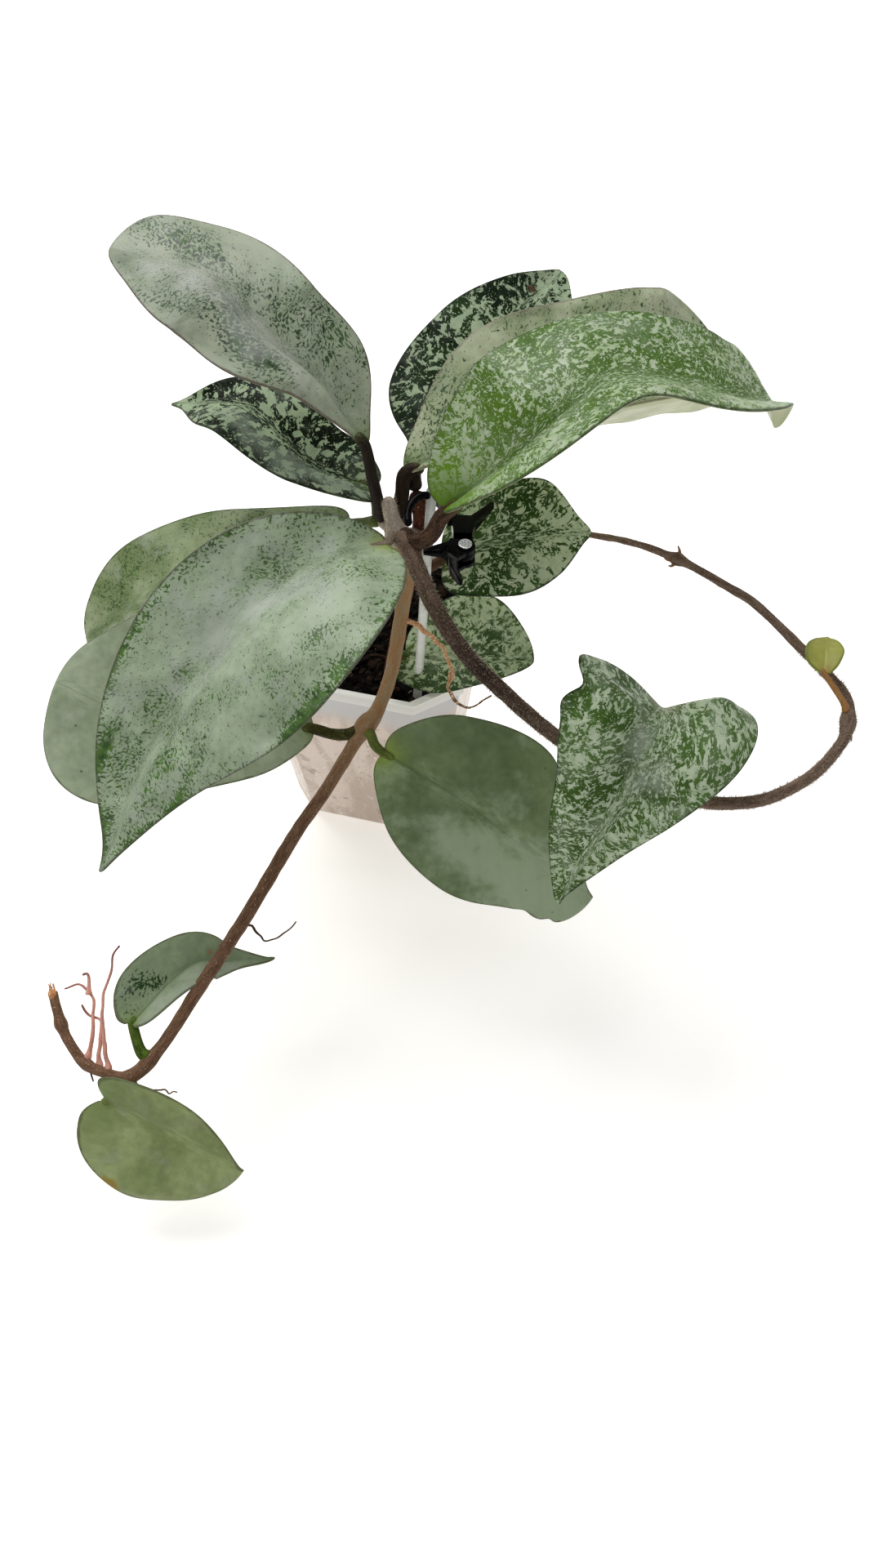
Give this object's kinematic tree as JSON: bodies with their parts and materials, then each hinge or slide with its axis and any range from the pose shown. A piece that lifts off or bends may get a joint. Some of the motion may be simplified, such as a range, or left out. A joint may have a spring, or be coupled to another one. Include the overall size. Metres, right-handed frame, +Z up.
{
  "type": "potted plant",
  "caption": "Young hoya with silver-splashed leaves in a square translucent nursery pot, tied to a thin stake by a small spring clip, one stem trailing low over the front.",
  "frame": {"origin": "middle of the pot's underside, on the surface it stands on", "axes": "+Z up, the pot's front faces -Y and the trailing stem hangs towards -Y, +X to the right"},
  "size_m": [0.2467, 0.2535, 0.2307],
  "materials": {
    "pot_plastic": "translucent satin",
    "potting_mix": "rough",
    "stake_plastic": "translucent gloss",
    "clip_plastic": "gloss",
    "spring_wire": "bright",
    "pin_metal": "bright",
    "stem_grey": "rough",
    "stem_tan": "rough",
    "stem_dark": "fuzzy",
    "leaf_silver": "satin",
    "leaf_mottled": "satin",
    "leaf_splashed": "satin",
    "leaf_plain": "satin",
    "leaf_new": "satin"
  },
  "bodies": {
    "plant": {"pot": "pot_plastic", "soil": "potting_mix", "stake": "stake_plastic", "clip_back": "clip_plastic", "clip_spring": "spring_wire", "clip_pin": "pin_metal", "main_stem": "stem_grey", "trailing_stem": "stem_tan", "runner_stem": "stem_dark", "leaf_01": "leaf_silver", "leaf_02": "leaf_mottled", "leaf_03": "leaf_plain", "leaf_04": "leaf_silver", "leaf_05": "leaf_plain", "leaf_06": "leaf_plain", "leaf_07": "leaf_mottled", "leaf_08": "leaf_silver", "leaf_09": "leaf_splashed", "leaf_10": "leaf_mottled", "leaf_11": "leaf_mottled", "leaf_12": "leaf_plain", "leaf_13": "leaf_splashed", "leaf_14": "leaf_plain", "new_leaf": "leaf_new"},
    "clip_jaw": {"clip_front": "clip_plastic"}
  },
  "joints": [
    {"name": "clip_hinge", "type": "hinge", "parent": "plant", "child": "clip_jaw", "pos_m": [0.0431, -0.0429, 0.1625], "axis": [0, 0, 1], "range_deg": [0, 18], "stiffness_Nm_per_rad": 0.02, "springref_deg": -11.46}
  ]
}
